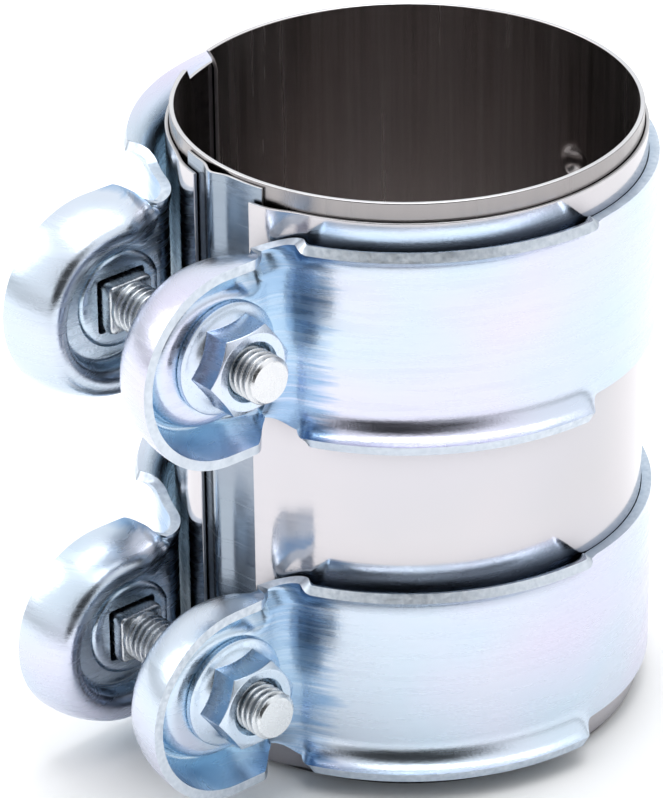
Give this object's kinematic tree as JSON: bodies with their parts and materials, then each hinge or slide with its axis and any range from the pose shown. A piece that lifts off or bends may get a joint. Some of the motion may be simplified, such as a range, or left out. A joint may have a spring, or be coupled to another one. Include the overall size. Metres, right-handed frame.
{
  "type": "pipe sleeve clamp",
  "caption": "Double-layer split steel sleeve held by separate band clamps with deep-drawn ears, carriage bolts and flange nuts; joins or patches a round pipe.",
  "frame": {"origin": "on the sleeve's axis, at the middle of the inner sleeve's length", "axes": "+Z along the sleeve and its pipe; the ears and the opening point towards -Y; the bolts lie along X with their nuts on the +X side"},
  "size_m": [0.0872, 0.1056, 0.102],
  "materials": {
    "stainless_sheet": "bright rolled",
    "zinc_plated_band": "clear blue passivated zinc",
    "zinc_plated_bolt": "bright zinc",
    "zinc_plated_nut": "clear blue passivated zinc"
  },
  "bodies": {
    "clamp_body": {"inner_sleeve": "stainless_sheet", "outer_sleeve": "stainless_sheet", "bridge_plate": "stainless_sheet", "lower_band": "zinc_plated_band", "upper_band": "zinc_plated_band"},
    "lower_nut_body": {"lower_nut": "zinc_plated_nut"},
    "lower_bolt_body": {"lower_bolt": "zinc_plated_bolt"},
    "upper_nut_body": {"upper_nut": "zinc_plated_nut"},
    "upper_bolt_body": {"upper_bolt": "zinc_plated_bolt"}
  },
  "joints": [
    {"name": "lower_nut_turn", "type": "hinge", "parent": "clamp_body", "child": "lower_nut_body", "pos_m": [0.01345, -0.0482, -0.03025], "axis": [1, 0, 0], "range_deg": [0, 720]},
    {"name": "lower_bolt_draw", "type": "slide", "parent": "clamp_body", "child": "lower_bolt_body", "axis": [-1, 0, 0], "range_m": [0, 0.0025]},
    {"name": "upper_nut_turn", "type": "hinge", "parent": "clamp_body", "child": "upper_nut_body", "pos_m": [0.01345, -0.0482, 0.02825], "axis": [1, 0, 0], "range_deg": [0, 720]},
    {"name": "upper_bolt_draw", "type": "slide", "parent": "clamp_body", "child": "upper_bolt_body", "axis": [-1, 0, 0], "range_m": [0, 0.0025]}
  ],
  "couplings": [
    {"joint": "lower_nut_turn", "follows": "lower_bolt_draw", "rad_per_m": 5026.5},
    {"joint": "upper_nut_turn", "follows": "upper_bolt_draw", "rad_per_m": 5026.5}
  ]
}
